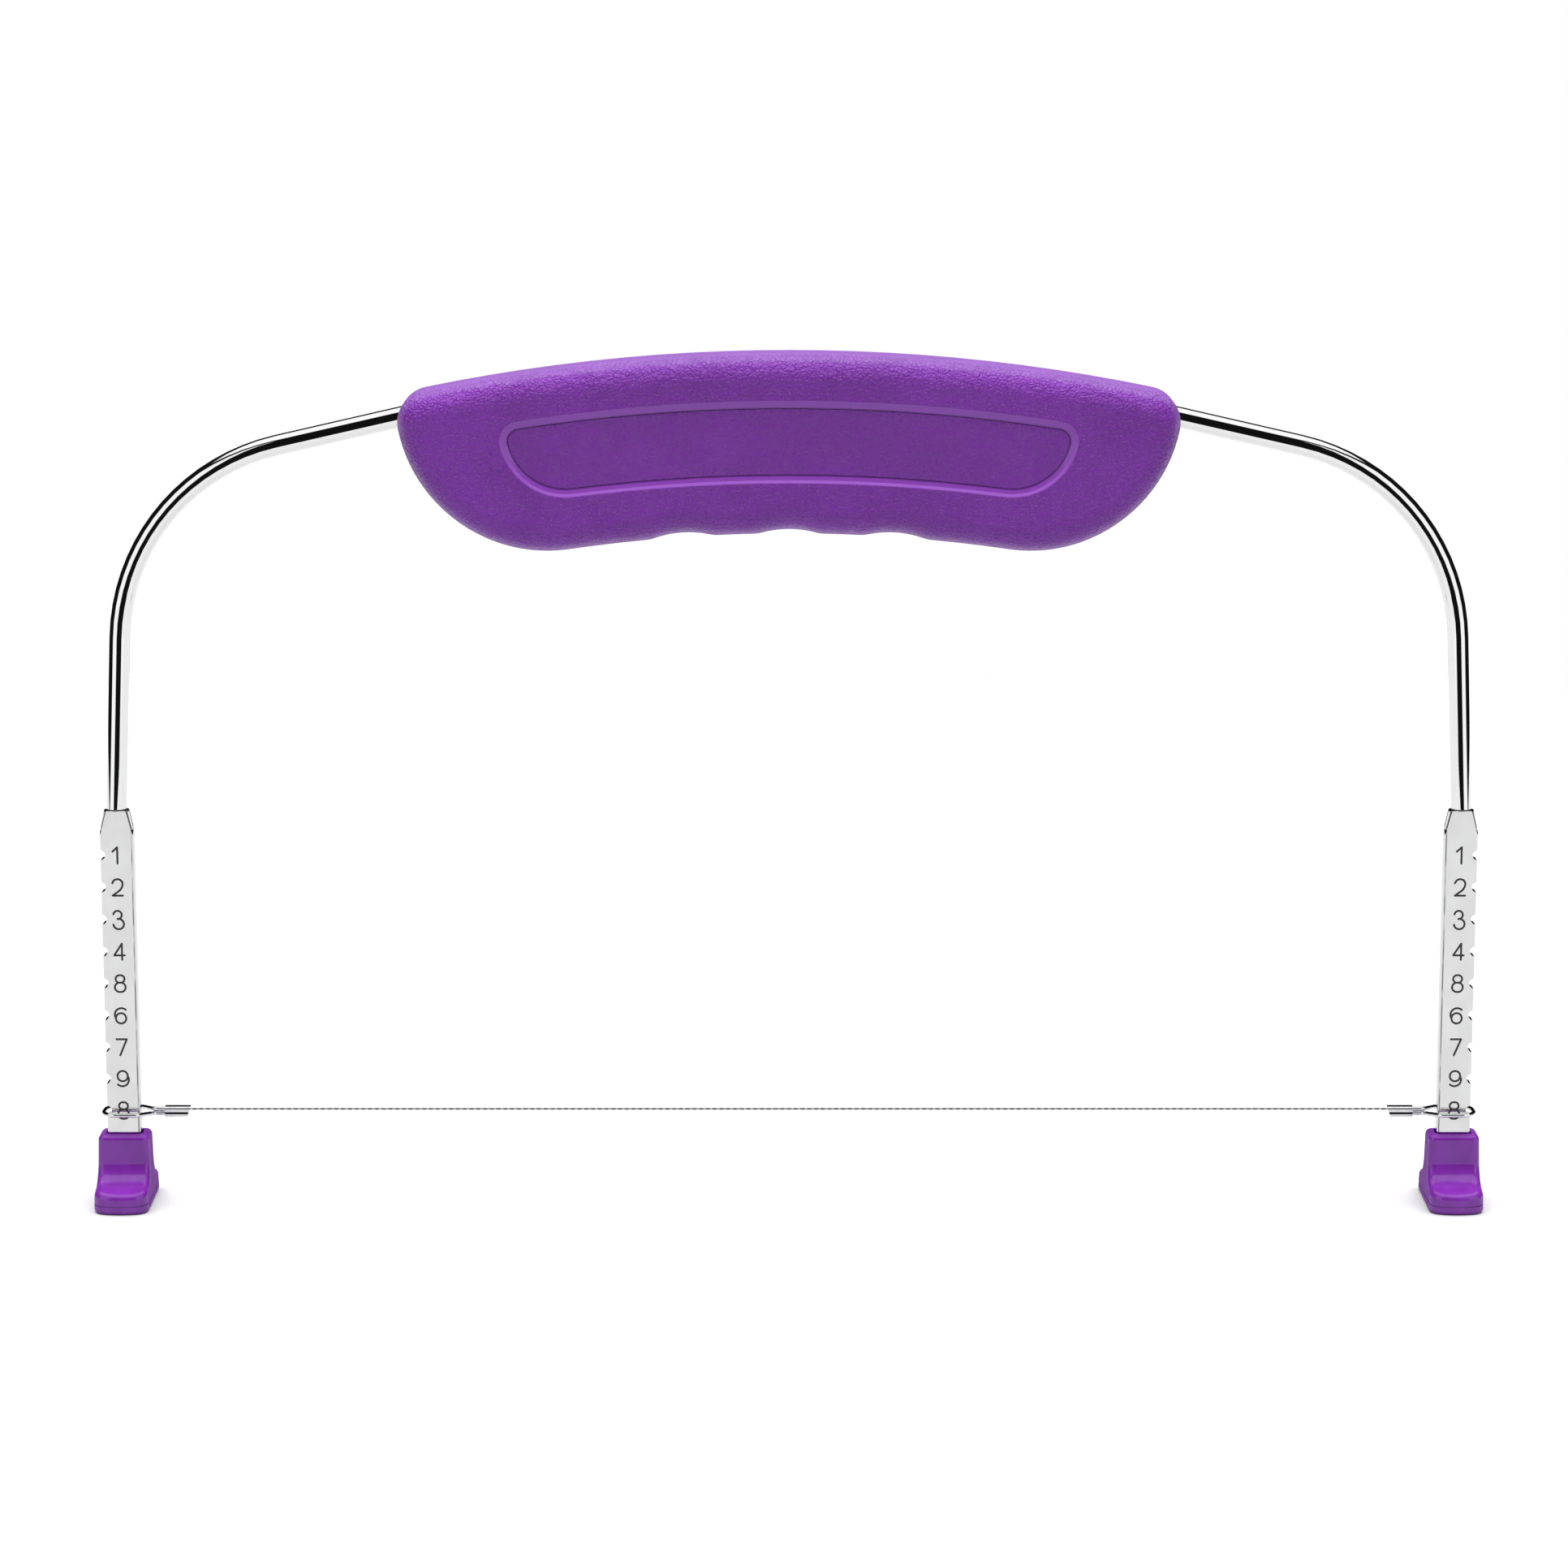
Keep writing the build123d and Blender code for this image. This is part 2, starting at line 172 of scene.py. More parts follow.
class WireSizes(bpy.types.PropertyGroup):
    strand: bpy.props.FloatProperty(
        name="Strand diameter",
        description="Diameter of one of the cutting wire's two strands",
        unit="LENGTH",
        default=0.225 * MM,
    )
    lay: bpy.props.FloatProperty(
        name="Lay",
        description="Length along the wire in which its strands go once round each other",
        unit="LENGTH",
        default=2.7 * MM,
    )
    sleeve_barrel: bpy.props.FloatProperty(
        name="Sleeve barrel",
        description="How far each of a crimp sleeve's two barrels swells out",
        unit="LENGTH",
        default=0.17 * MM,
    )


class StudioSizes(bpy.types.PropertyGroup):
    camera_distance: bpy.props.FloatProperty(
        name="Camera distance",
        description="From the lens to the point that it looks at",
        unit="LENGTH",
        default=0.950,
    )
    camera_elevation: bpy.props.FloatProperty(
        name="Camera elevation",
        description="Angle of the view above the horizon",
        subtype="ANGLE",
        default=math.radians(11),
    )
    camera_lens: bpy.props.FloatProperty(
        name="Focal length",
        description="Focal length of the lens in millimetres, on a sensor 36 mm wide",
        default=110.6,
    )
    aim_height: bpy.props.FloatProperty(
        name="Aim height",
        description="Height of the point that the camera looks at",
        unit="LENGTH",
        default=85.14 * MM,
    )
    aim_aside: bpy.props.FloatProperty(
        name="Aim aside",
        description="How far to the left of the middle the camera stands and looks",
        unit="LENGTH",
        default=0.96 * MM,
    )
    table_across: bpy.props.FloatProperty(
        name="Table across",
        description="Half the width of the oval white table",
        unit="LENGTH",
        default=0.68,
    )
    table_deep: bpy.props.FloatProperty(
        name="Table deep",
        description="Half the depth of the oval white table",
        unit="LENGTH",
        default=0.50,
    )
    table_back: bpy.props.FloatProperty(
        name="Table back",
        description="How far behind the part the middle of the table lies",
        unit="LENGTH",
        default=0.13,
    )
    table_white: bpy.props.FloatProperty(
        name="Table white",
        description="Share of the light that the table throws back",
        subtype="FACTOR",
        min=0,
        max=1,
        default=0.48,
    )
    table_seen: bpy.props.FloatProperty(
        name="Table white in view",
        description="The same share for the view itself, which keeps all but close shadows white",
        subtype="FACTOR",
        min=0,
        max=1,
        default=0.62,
    )
    overhead: bpy.props.FloatProperty(
        name="Overhead light",
        description="Light that the softbox over the part throws on it",
        default=5.0,
    )
    overhead_shown: bpy.props.FloatProperty(
        name="Overhead white",
        description="Brightness of the same softbox in mirror reflections",
        default=1.08,
    )
    beside: bpy.props.FloatProperty(
        name="Side light",
        description="Brightness of the softbox at each side",
        default=1.02,
    )
    dark: bpy.props.FloatProperty(
        name="Dark",
        description="Brightness of the room between the softboxes",
        default=0.006,
    )


LOOKS = {
    "leveler_grip": GripLook,
    "leveler_foot": FootLook,
    "leveler_metal": MetalLook,
    "leveler_wire": WireSizes,
    "leveler_studio": StudioSizes,
}


# Shading by expressions


class Shade:
    """A socket of a node tree that takes part in sums: each one adds its own Math node."""

    def __init__(self, tree, socket=None):
        self.tree = tree
        self.socket = socket

    def node(self, kind, settings, inputs, output=0):
        """Adds a node, sets it up, then feeds its sockets with values or with other shades."""
        made = self.tree.nodes.new(kind)
        for name, value in settings.items():
            setattr(made, name, value)
        for key, value in inputs.items():
            if isinstance(value, Shade):
                self.tree.links.new(value.socket, made.inputs[key])
            else:
                made.inputs[key].default_value = value
        return Shade(self.tree, None if output is None else made.outputs[output])

    def math(self, operation, first, second=0.0):
        return self.node("ShaderNodeMath", {"operation": operation}, {0: first, 1: second})

    def __add__(self, other):
        return self.math("ADD", self, other)

    __radd__ = __add__

    def __sub__(self, other):
        return self.math("SUBTRACT", self, other)

    def __rsub__(self, other):
        return self.math("SUBTRACT", other, self)

    def __mul__(self, other):
        return self.math("MULTIPLY", self, other)

    __rmul__ = __mul__

    def size(self):
        return self.math("ABSOLUTE", self)

    def step(self, low, high):
        """0 below low, 1 above high, smooth between; the other way round if low is above high."""
        ends = {"Value": self, "From Min": low, "From Max": high}
        return self.node("ShaderNodeMapRange", {"interpolation_type": "SMOOTHSTEP"}, ends)

    def mix(self, first, second):
        """A colour between two, by this value."""
        return self.node(
            "ShaderNodeMix",
            {"data_type": "RGBA"},
            {0: self, 6: shown(first), 7: shown(second)},
            output=2,
        )

    def parts(self):
        """The three parts of a vector."""
        split = self.node("ShaderNodeSeparateXYZ", {}, {0: self}).socket.node
        return [Shade(self.tree, output) for output in split.outputs]


def shown(colour):
    """A colour as a socket takes it."""
    return colour if isinstance(colour, Shade) else (*colour, 1.0)


def new_material(name):
    """A material with its main shader, and the place on the piece that its patterns read."""
    material = bpy.data.materials.new(name)
    material.use_nodes = True
    tree = material.node_tree
    place = Shade(tree).node("ShaderNodeTexCoord", {}, {}, output="Object")
    return material, tree.nodes["Principled BSDF"], place


def feed(shader, **inputs):
    """Sets the shader's own sockets, or links what varies over the surface to them."""
    for name, value in inputs.items():
        socket = shader.inputs[name.replace("_", " ")]
        if isinstance(value, Shade):
            value.tree.links.new(value.socket, socket)
        else:
            socket.default_value = value


def stretched(place, scale):
    """The place on the piece, stretched along the axes."""
    return place.node("ShaderNodeMapping", {}, {"Vector": place, "Scale": scale})


def noise(place, size, detail=2.0, roughness=0.5):
    """Cloudy noise from 0 to 1 whose patches are about one size across."""
    inputs = {"Vector": place, "Scale": 1 / size, "Detail": detail, "Roughness": roughness}
    return place.node("ShaderNodeTexNoise", {}, inputs)


def grazing(place):
    """1 where the surface is seen nearly edge-on, where fine dust and grain take its gloss away."""
    facing = place.node("ShaderNodeLayerWeight", {}, {"Blend": 0.5}, output="Facing")
    return facing.step(0.55, 0.85)


def bump(height, depth, strength=1.0):
    inputs = {"Height": height, "Distance": depth, "Strength": strength}
    return height.node("ShaderNodeBump", {}, inputs)


def paint(nodes, material):
    """Gives CAD nodes one material all over."""
    for name in nodes:
        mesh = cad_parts[name].data
        mesh.materials.clear()
        mesh.materials.append(material)


# Places on the part, in its own frame. A mask fades in from the first value of a pair to the
# second.

CROWN_RADIUS = 352 * MM
PANEL_BOTTOM = (143.5 * MM, 144.2 * MM)
PANEL_TOP = (164.2 * MM, 163.6 * MM)
PANEL_END = (60.0 * MM, 59.4 * MM)
PANEL_CORNER_ASIDE = (51 * MM, 52 * MM)
PANEL_CORNER_UNDER = (148 * MM, 147.5 * MM)
BEVEL_FRONT = (-8.235 * MM, -8.215 * MM)
BEVEL_BACK = (-7.44 * MM, -7.47 * MM)
BEVEL_LOWER = (156.0 * MM, 153.0 * MM)
WALL_FRONT = (-8.20 * MM, -7.93 * MM)
WALL_BACK = (-7.93 * MM, -7.45 * MM)
LIP_FRONT = (-8.19 * MM, -8.12 * MM)
LIP_BACK = (-7.90 * MM, -7.97 * MM)
RIM = (-7.60 * MM, -7.54 * MM)
PARTING_LINE = (0.09 * MM, 0.03 * MM)
ROUNDED_EDGE = (7.1 * MM, 5.8 * MM)

FIGURES_ASIDE = (1.75 * MM, 1.65 * MM)
FIGURES_OVER_FOOT = (16 * MM, 17 * MM)
STAMPED_FROM = (0.01 * MM, 0.05 * MM)
STAMPED_TO = (0.30 * MM, 0.25 * MM)
EDGE_LINE_INSET = 0.34 * MM
EDGE_LINE_WIDTH = (0.15 * MM, 0.07 * MM)
EDGE_LINE_DEPTH = (0.6 * MM, 0.4 * MM)
EDGE_LINE_TOP = (78 * MM, 76 * MM)
SHOULDER_BOTTOM = (76.2 * MM, 76.6 * MM)
SHOULDER_TOP = (79.96 * MM, 79.8 * MM)
SHOULDER_LINE_FROM = (0.02 * MM, 0.05 * MM)
SHOULDER_LINE_TO = (0.55 * MM, 0.45 * MM)
JOINT_FADE = 0.12 * MM

# Colours that the looks above are mixed with

BEVEL_PALE = (0.62, 0.26, 0.95)
# Colour of the painted sheen on the grip's rounded edges
EDGE_SHEEN = (0.85, 0.80, 0.92)
OXIDE = (0.03, 0.03, 0.032)
# Dark of the painted reflection along the bars' inner edges
EDGE_REFLECTION_DARK = (0.04, 0.04, 0.042)
# Dark of the painted reflection on the bars' shoulders
SHOULDER_REFLECTION_DARK = (0.02, 0.02, 0.021)
JOINT_DARK = (0.02, 0.02, 0.02)

PLASTIC_IOR = 1.46
GLOSS_PLASTIC_IOR = 1.50
MARK_DEPTH = 0.01 * MM
ROLLING_DEPTH = 0.002 * MM
FLOW_DEPTH = 0.12 * MM


# Materials


def tinted(colour, factor, lift=0.0):
    """A colour made lighter or darker, up to white."""
    return tuple(min(1, part * factor + lift) for part in colour)


def grip_material(look):
    """Moulded plastic with a fine leather-like grain, smooth on the panel's bevel, and the dark
    parting line where the two shells meet."""
    material, shader, place = new_material("grip_grained_plastic")
    x, y, z = place.parts()
    bent = noise(place, 3.2 * look.grain, detail=1.0)
    warp = place.node(
        "ShaderNodeVectorMath",
        {"operation": "ADD"},
        {0: place, 1: bent.mix((0, 0, 0), (look.grain, look.grain, look.grain))},
    )
    cells = place.node(
        "ShaderNodeTexVoronoi",
        {"feature": "DISTANCE_TO_EDGE"},
        {"Vector": warp, "Scale": 1 / look.grain},
    ).step(0.0, 0.28)
    pores = noise(place, 0.4 * look.grain, detail=2.0, roughness=0.6)
    swell = noise(place, 1.7 * look.grain, detail=1.0)
    grain = cells * 0.5 + pores * 0.9 + swell * 1.4

    # The bevel round the panel is smooth: it lies behind the front face and inside the panel's band
    level = z + x * x * (1 / (2 * CROWN_RADIUS))
    inside = level.step(*PANEL_BOTTOM) * level.step(*PANEL_TOP) * x.size().step(*PANEL_END)
    corner = x.size().step(*PANEL_CORNER_ASIDE) * level.step(*PANEL_CORNER_UNDER)
    smooth = inside * y.step(*BEVEL_FRONT) * y.step(*BEVEL_BACK) * (1 - corner)
    grained = 1 - smooth
    seam = y.size().step(*PARTING_LINE)
    lower = level.step(*BEVEL_LOWER)
    wall = (y.step(*WALL_FRONT) * -1.2 + y.step(*WALL_BACK) * 0.5) * lower
    height = grain * grained * (1 - seam) + (wall + 1.4) * smooth - seam * 0.6
    # Painted highlight: a paler line along the lower lip of the panel's bevel
    painted_lip_highlight = y.step(*LIP_FRONT) * y.step(*LIP_BACK) * smooth * lower
    # Painted shade: the bevel darker at its foot, where it meets the panel's floor
    painted_rim_shade = y.step(*RIM) * smooth

    # The colour: faint clouds and paler specks, then the paler bevel with a painted highlight on
    # its lower lip and painted shade at its foot, a painted sheen on the rounded edges, and the
    # seam
    speck = noise(place, 0.55 * look.grain, detail=2.0, roughness=0.7).step(0.6, 0.78)
    cloud = noise(place, 16 * MM, detail=2.0)
    body = tuple(look.colour)
    pale = tuple(0.6 * c + 0.4 * p for c, p in zip(body, BEVEL_PALE))
    colour = cloud.step(0.3, 0.7).mix(tinted(body, 0.86), body)
    colour = (speck * grained * 0.55).mix(colour, tinted(body, 1.22, 0.012))
    colour = (smooth * 0.42 + painted_lip_highlight * 0.5).mix(colour, pale)
    colour = (painted_rim_shade * 0.6).mix(colour, tinted(body, 0.3))
    # Painted sheen: a paler band on the rounded edges, ragged along the grain
    ragged = y.size() - (cells - 0.5) * 0.5 * MM - (swell - 0.5) * 1.2 * MM
    painted_edge_sheen = ragged.step(*ROUNDED_EDGE) * grained * (1 - seam)
    colour = (painted_edge_sheen * 0.09).mix(colour, EDGE_SHEEN)
    colour = (seam * 0.75).mix(colour, tinted(body, 0.25))
    dull = (pores - 0.5) * 0.12 + grazing(place) * 0.25
    feed(
        shader,
        Base_Color=colour,
        Roughness=look.gloss_roughness - smooth * 0.06 + dull,
        Normal=bump(height, look.grain_depth),
        IOR=PLASTIC_IOR,
    )
    return material


def foot_material(look):
    """Glossy moulded plastic with the faint flow marks of its mould."""
    material, shader, place = new_material("foot_smooth_plastic")
    flow = noise(stretched(place, (1, 1, 0.45)), 2.6 * MM, detail=3.0)
    fine = noise(place, 0.5 * MM, detail=2.0)
    body = tuple(look.colour)
    feed(
        shader,
        Base_Color=flow.step(0.3, 0.7).mix(tinted(body, 0.9), tinted(body, 1.06)),
        Roughness=look.gloss_roughness + (fine - 0.5) * 0.08 + grazing(place) * 0.6,
        Normal=bump(flow + fine * 0.1, FLOW_DEPTH, strength=0.6),
        IOR=GLOSS_PLASTIC_IOR,
    )
    return material


def chrome_material(look):
    """Polished, slightly wavy plating, with a dark ring where the rod enters the bar."""
    material, shader, place = new_material("rod_polished_plating")
    z = place.parts()[2]
    waves = noise(place, 12 * MM, detail=1.0)
    haze = noise(place, 2.2 * MM, detail=3.0)
    joint = z.step(look.joint_line, look.joint_line - JOINT_FADE)
    bright = haze.mix(tinted(look.chrome, 0.97), tuple(look.chrome))
    feed(
        shader,
        Base_Color=(joint * 0.9).mix(bright, JOINT_DARK),
        Roughness=0.012 + haze * 0.02 + joint * 0.3,
        Normal=bump(waves, MARK_DEPTH, strength=0.5),
        Metallic=1.0,
    )
    return material


def bar_material(look, name, side):
    """Satin plating with rolling marks along the bar, dark oxide in the stamped figures, and
    painted
    reflections: a dark line along the inner edge and in front of the shoulder's forged sides."""
    material, shader, place = new_material("bar_satin_plating_" + name)
    low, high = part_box("leg_bar_" + name)
    x, y, z = place.parts()
    depth = y - low.y
    marks = noise(stretched(place, (1, 1, 0.04)), 0.16 * MM, detail=2.0)
    haze = noise(place, 5 * MM, detail=2.0)

    stamped = (x - (low.x + high.x) / 2).size().step(*FIGURES_ASIDE) * z.step(*FIGURES_OVER_FOOT)
    stamped = stamped * depth.step(*STAMPED_FROM) * depth.step(*STAMPED_TO)
    # Painted reflection: a dark line just inside the inner front edge, up to the shoulder
    inner = (high.x if side < 0 else low.x) + side * EDGE_LINE_INSET
    painted_edge_reflection = (x - inner).size().step(*EDGE_LINE_WIDTH) * depth.step(*EDGE_LINE_DEPTH)
    painted_edge_reflection = painted_edge_reflection * haze.step(0.25, 0.6) * z.step(*EDGE_LINE_TOP)
    shoulder = z.step(*SHOULDER_BOTTOM) * z.step(*SHOULDER_TOP)
    # Painted reflection: dark lines on the shoulder's forged sides next to the front face
    painted_shoulder_reflection = depth.step(*SHOULDER_LINE_FROM) * depth.step(*SHOULDER_LINE_TO) * shoulder

    bright = tuple(look.satin)
    colour = haze.step(0.3, 0.7).mix(tinted(bright, 0.94), bright)
    # Painted reflections: the dark line at the inner edge, then the dark lines on the shoulders
    colour = (painted_edge_reflection * 0.8).mix(colour, EDGE_REFLECTION_DARK)
    colour = (painted_shoulder_reflection * 0.9).mix(colour, SHOULDER_REFLECTION_DARK)
    lean = z * look.bar_lean + depth * shoulder * look.shoulder_lean
    feed(
        shader,
        Base_Color=(stamped * 0.96).mix(colour, OXIDE),
        Roughness=0.06 + marks * 0.06 + stamped * 0.4,
        Normal=bump(marks * ROLLING_DEPTH + lean, 1.0),
        Metallic=1 - stamped * 0.5,
    )
    return material


def steel_material(name, colour, mark_size, roughness, height=None, depth=MARK_DEPTH):
    """Bright bare metal with fine marks all over, and a form of its own under them if given."""
    material, shader, place = new_material(name)
    marks = noise(place, mark_size, detail=3.0)
    if height is None:
        normal = bump(marks, depth, strength=0.5)
    else:
        normal = bump(height(place) + marks * 0.05, depth)
    feed(
        shader,
        Base_Color=marks.step(0.25, 0.75).mix(tinted(colour, 0.86), tuple(colour)),
        Roughness=roughness + marks * 0.08,
        Normal=normal,
        Metallic=1.0,
    )
    return material


def two_barrels(place):
    """The height of a crimp sleeve's side: two barrels over each other, with a groove between."""
    low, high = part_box("wire_ferrule_left")
    barrel = (place.parts()[2] - (low.z + high.z) / 2).size() * (2 / (high.z - low.z))
    return barrel.step(0.0, 0.5) * barrel.step(1.0, 0.5)


# Mesh work

STRAND_SIDES = 10
STEPS_PER_LAY = 14
TABLE_SIDES = 96
SMOOTH_UNDER = math.radians(40)


def deselect_all():
    if bpy.context.object and bpy.context.object.mode != "OBJECT":
        bpy.ops.object.mode_set(mode="OBJECT")
    bpy.ops.object.select_all(action="DESELECT")


def settle(piece, material):
    """Puts a finished piece's place into its mesh, and gives it its material and smooth faces."""
    deselect_all()
    piece.select_set(True)
    bpy.context.view_layer.objects.active = piece
    bpy.ops.object.transform_apply(location=True, rotation=True, scale=True)
    bpy.ops.object.mode_set(mode="EDIT")
    bpy.ops.mesh.select_all(action="SELECT")
    bpy.ops.mesh.normals_make_consistent(inside=False)
    bpy.ops.object.mode_set(mode="OBJECT")
    bpy.ops.object.shade_smooth_by_angle(angle=SMOOTH_UNDER)
    piece.data.materials.clear()
    piece.data.materials.append(material)


def make_strand(name, start, length, turn, sizes, material):
    """One strand of the cutting wire: a small disc that a screw sweeps along and round the wire."""
    deselect_all()
    radius = sizes.strand / 2
    bpy.ops.mesh.primitive_circle_add(
        vertices=STRAND_SIDES, radius=radius, location=(0, 0, 0), rotation=(0, math.pi / 2, 0)
    )
    strand = bpy.context.object
    strand.name = name
    bpy.ops.object.transform_apply(location=True, rotation=True, scale=True)
    bpy.ops.object.mode_set(mode="EDIT")
    bpy.ops.mesh.select_all(action="SELECT")
    across = (0, radius * math.cos(turn), radius * math.sin(turn))
    bpy.ops.transform.translate(value=across)
    bpy.ops.object.mode_set(mode="OBJECT")
    sweep = strand.modifiers.new("lay", "SCREW")
    sweep.axis = "X"
    sweep.angle = math.tau * length / sizes.lay
    sweep.screw_offset = length
    sweep.steps = sweep.render_steps = round(STEPS_PER_LAY * length / sizes.lay)
    sweep.use_smooth_shade = True
    bpy.ops.object.modifier_apply(modifier=sweep.name)
    bpy.ops.object.mode_set(mode="EDIT")
    bpy.ops.mesh.select_mode(type="EDGE")
    bpy.ops.mesh.select_all(action="DESELECT")
    bpy.ops.mesh.select_non_manifold()
    bpy.ops.mesh.fill_holes(sides=0)
    bpy.ops.mesh.select_all(action="SELECT")
    bpy.ops.transform.translate(value=start)
    bpy.ops.object.mode_set(mode="OBJECT")
    settle(strand, material)
    return strand


# Operators, one for each piece or group of like pieces


class LEVELER_OT_rod(bpy.types.Operator):
    """Finishes the arched rod in polished plating"""

    bl_idname = "leveler.rod"
    bl_label = "Arched rod"

    def execute(self, context):
        paint(["frame_rod"], chrome_material(context.scene.leveler_metal))
        return {"FINISHED"}


class LEVELER_OT_bars(bpy.types.Operator):
    """Finishes the two notched leg bars in satin plating with dark figures"""

    bl_idname = "leveler.bars"
    bl_label = "Leg bars"

    def execute(self, context):
        for name, side in SIDES:
            paint(["leg_bar_" + name], bar_material(context.scene.leveler_metal, name, side))
        return {"FINISHED"}


class LEVELER_OT_grip(bpy.types.Operator):
    """Finishes both grip shells and the panel in grained plastic"""

    bl_idname = "leveler.grip"
    bl_label = "Grip and panel"

    def execute(self, context):
        nodes = ["handle_front_shell", "handle_rear_shell", "handle_panel"]
        paint(nodes, grip_material(context.scene.leveler_grip))
        return {"FINISHED"}


class LEVELER_OT_feet(bpy.types.Operator):
    """Finishes the push-on feet in glossy plastic"""

    bl_idname = "leveler.feet"
    bl_label = "Feet"

    def execute(self, context):
        material = foot_material(context.scene.leveler_foot)
        paint(["foot_" + name for name, _ in SIDES], material)
        return {"FINISHED"}


class LEVELER_OT_screws(bpy.types.Operator):
    """Finishes the three grip screws in plated steel"""

    bl_idname = "leveler.screws"
    bl_label = "Grip screws"

    def execute(self, context):
        colour = tuple(context.scene.leveler_metal.steel)
        material = steel_material("screw_plated_steel", colour, 0.4 * MM, 0.28)
        paint(["handle_screw_" + place for place in ("left", "middle", "right")], material)
        return {"FINISHED"}


class LEVELER_OT_wire(bpy.types.Operator):
    """Models the cutting wire as two strands laid round each other"""

    bl_idname = "leveler.wire"
    bl_label = "Cutting wire"

    def execute(self, context):
        sizes = context.scene.leveler_wire
        look = context.scene.leveler_metal
        colour = tinted(look.steel, look.strand_shade)
        material = steel_material("strand_bright_steel", colour, 0.5 * MM, 0.22)
        low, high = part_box("cutting_wire")
        start = (low.x, (low.y + high.y) / 2, (low.z + high.z) / 2)
        for name, turn in (("cutting_strand_a", 0), ("cutting_strand_b", math.pi)):
            strand = make_strand(name, start, high.x - low.x, turn, sizes, material)
            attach(strand, "wire")
            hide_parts("cutting_wire")
        return {"FINISHED"}


class LEVELER_OT_loops(bpy.types.Operator):
    """Finishes the two end loops in bright drawn wire"""

    bl_idname = "leveler.loops"
    bl_label = "End loops"

    def execute(self, context):
        look = context.scene.leveler_metal
        colour = tinted(look.steel, look.bright_shade)
        material = steel_material("loop_bright_steel", colour, 0.5 * MM, 0.05)
        paint(["wire_loop_" + name for name, _ in SIDES], material)
        return {"FINISHED"}


class LEVELER_OT_sleeves(bpy.types.Operator):
    """Finishes the crimp sleeves in bright metal"""

    bl_idname = "leveler.sleeves"
    bl_label = "Crimp sleeves"

    def execute(self, context):
        look = context.scene.leveler_metal
        colour = tinted(look.steel, look.bright_shade)
        swell = context.scene.leveler_wire.sleeve_barrel
        material = steel_material(
            "sleeve_bright_metal", colour, 0.7 * MM, 0.07, height=two_barrels, depth=swell
        )
        paint(["wire_ferrule_" + name for name, _ in SIDES], material)
        return {"FINISHED"}


class LEVELER_OT_studio(bpy.types.Operator):
    """Builds the white table, the studio round it and the camera"""

    bl_idname = "leveler.studio"
    bl_label = "Table, light and camera"

    def execute(self, context):
        sizes = context.scene.leveler_studio
        make_table(sizes)
        make_room(context.scene, sizes)
        make_camera(context.scene, sizes)
        context.scene.view_settings.view_transform = "Standard"
        return {"FINISHED"}


# Stage


def make_table(sizes):
    """The oval white table that the part stands on."""
    deselect_all()
    bpy.ops.mesh.primitive_circle_add(
        vertices=TABLE_SIDES, radius=1, fill_type="NGON", location=(0, sizes.table_back, 0)
    )
    table = bpy.context.object
    table.name = "table"
    table.scale = (sizes.table_across, sizes.table_deep, 1)
    bpy.ops.object.transform_apply(location=True, rotation=True, scale=True)
    material = bpy.data.materials.new("table_white")
    material.use_nodes = True
    tree = material.node_tree
    tree.nodes.clear()
    base = Shade(tree)
    seen = base.node("ShaderNodeLightPath", {}, {}, output="Is Camera Ray")
    white = seen.mix([sizes.table_white] * 3, [sizes.table_seen] * 3)
    paper = base.node("ShaderNodeBsdfDiffuse", {}, {"Color": white})
    base.node("ShaderNodeOutputMaterial", {}, {"Surface": paper}, output=None)
    table.data.materials.append(material)


# Edges of the softboxes in degrees, up from the horizon or aside from the front. The light fades
# in from the first value of a pair to the second.

CEILING = 56
CEILING_DIP = 6
CEILING_DIP_ASIDE = (60, 110)
CEILING_FADE = (-2, 2)
BESIDE_FRONT = (26, 30)
BESIDE_BACK = (75, 69)
BESIDE_BOTTOM = (-30, -24)
BESIDE_TOP = (48, 42)


def make_room(scene, sizes):
    """A dark room with a wide softbox overhead and one at each side. The view past the table's
    edge is plain white."""
    world = bpy.data.worlds.new("studio")
    scene.world = world
    world.use_nodes = True
    tree = world.node_tree
    tree.nodes.clear()
    base = Shade(tree)
    x, y, z = base.node("ShaderNodeTexCoord", {}, {}, output="Generated").parts()
    degrees = math.degrees(1)
    aside = base.math("ARCTAN2", x, 0 - y).size() * degrees
    up = base.math("ARCSINE", z) * degrees
    overhead = (up - (CEILING - aside.step(*CEILING_DIP_ASIDE) * CEILING_DIP)).step(*CEILING_FADE)
    beside = aside.step(*BESIDE_FRONT) * aside.step(*BESIDE_BACK)
    beside = beside * up.step(*BESIDE_BOTTOM) * up.step(*BESIDE_TOP)
    seen = base.node("ShaderNodeLightPath", {}, {}, output="Is Camera Ray")
    mirrored = base.node("ShaderNodeLightPath", {}, {}, output="Is Glossy Ray")
    lamp = sizes.overhead - mirrored * (sizes.overhead - sizes.overhead_shown)
    level = sizes.dark + overhead * lamp + beside * (1 - overhead) * sizes.beside
    strength = seen + (1 - seen) * level
    sky = base.node("ShaderNodeBackground", {}, {"Color": (1, 1, 1, 1), "Strength": strength})
    base.node("ShaderNodeOutputWorld", {}, {"Surface": sky}, output=None)


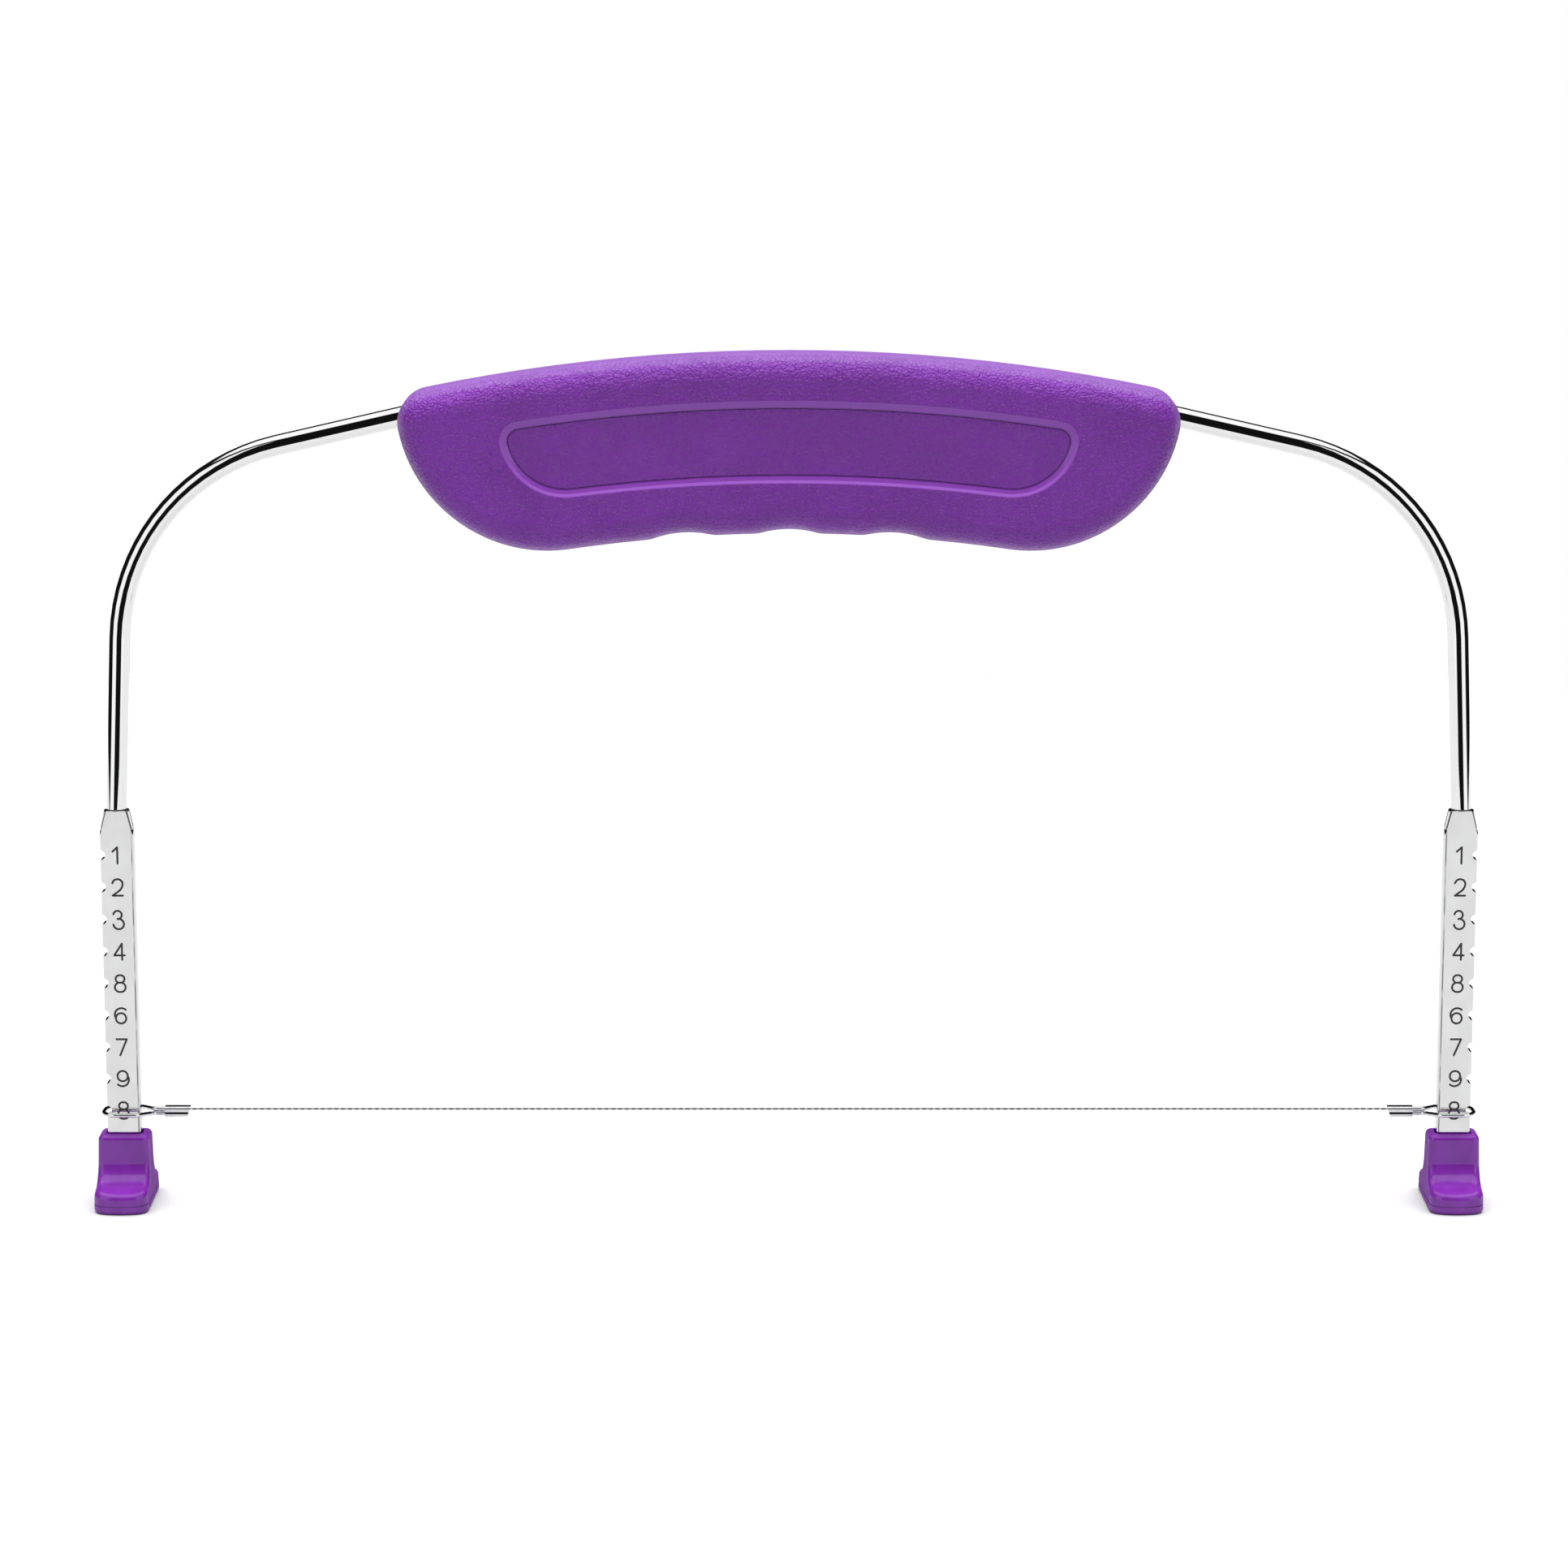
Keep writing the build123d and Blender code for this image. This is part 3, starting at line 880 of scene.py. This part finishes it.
def make_camera(scene, sizes):
    """The camera at the photograph's angle."""
    lens = bpy.data.cameras.new("photo_view")
    lens.lens = sizes.camera_lens
    lens.sensor_width = SENSOR_WIDTH
    lens.clip_start = 0.05
    lens.clip_end = 20.0
    camera = bpy.data.objects.new("photo_view", lens)
    scene.collection.objects.link(camera)
    tilt = sizes.camera_elevation
    back = sizes.camera_distance
    camera.location = (
        -sizes.aim_aside,
        -back * math.cos(tilt),
        sizes.aim_height + back * math.sin(tilt),
    )
    camera.rotation_euler = (math.pi / 2 - tilt, 0, 0)
    scene.camera = camera


OPERATORS = (
    LEVELER_OT_rod,
    LEVELER_OT_bars,
    LEVELER_OT_grip,
    LEVELER_OT_feet,
    LEVELER_OT_screws,
    LEVELER_OT_wire,
    LEVELER_OT_loops,
    LEVELER_OT_sleeves,
    LEVELER_OT_studio,
)


class LEVELER_PT_panel(bpy.types.Panel):
    """Lists the steps that dress the cake leveler"""

    bl_idname = "LEVELER_PT_panel"
    bl_label = "Cake leveler"
    bl_space_type = "VIEW_3D"
    bl_region_type = "UI"
    bl_category = "Leveler"

    def draw(self, context):
        for operator in OPERATORS:
            self.layout.operator(operator.bl_idname)
        for name, group in LOOKS.items():
            box = self.layout.box()
            for key in group.__annotations__:
                box.prop(getattr(context.scene, name), key)


CLASSES = (*LOOKS.values(), *OPERATORS, LEVELER_PT_panel)


def register():
    for cls in CLASSES:
        bpy.utils.register_class(cls)
    for name, group in LOOKS.items():
        setattr(bpy.types.Scene, name, bpy.props.PointerProperty(type=group))


def unregister():
    for name in LOOKS:
        delattr(bpy.types.Scene, name)
    for cls in reversed(CLASSES):
        bpy.utils.unregister_class(cls)


def main():
    register()
    bpy.ops.leveler.rod()
    bpy.ops.leveler.bars()
    bpy.ops.leveler.grip()
    bpy.ops.leveler.feet()
    bpy.ops.leveler.screws()
    bpy.ops.leveler.wire()
    bpy.ops.leveler.loops()
    bpy.ops.leveler.sleeves()
    bpy.ops.leveler.studio()


if __name__ == "__main__":
    main()
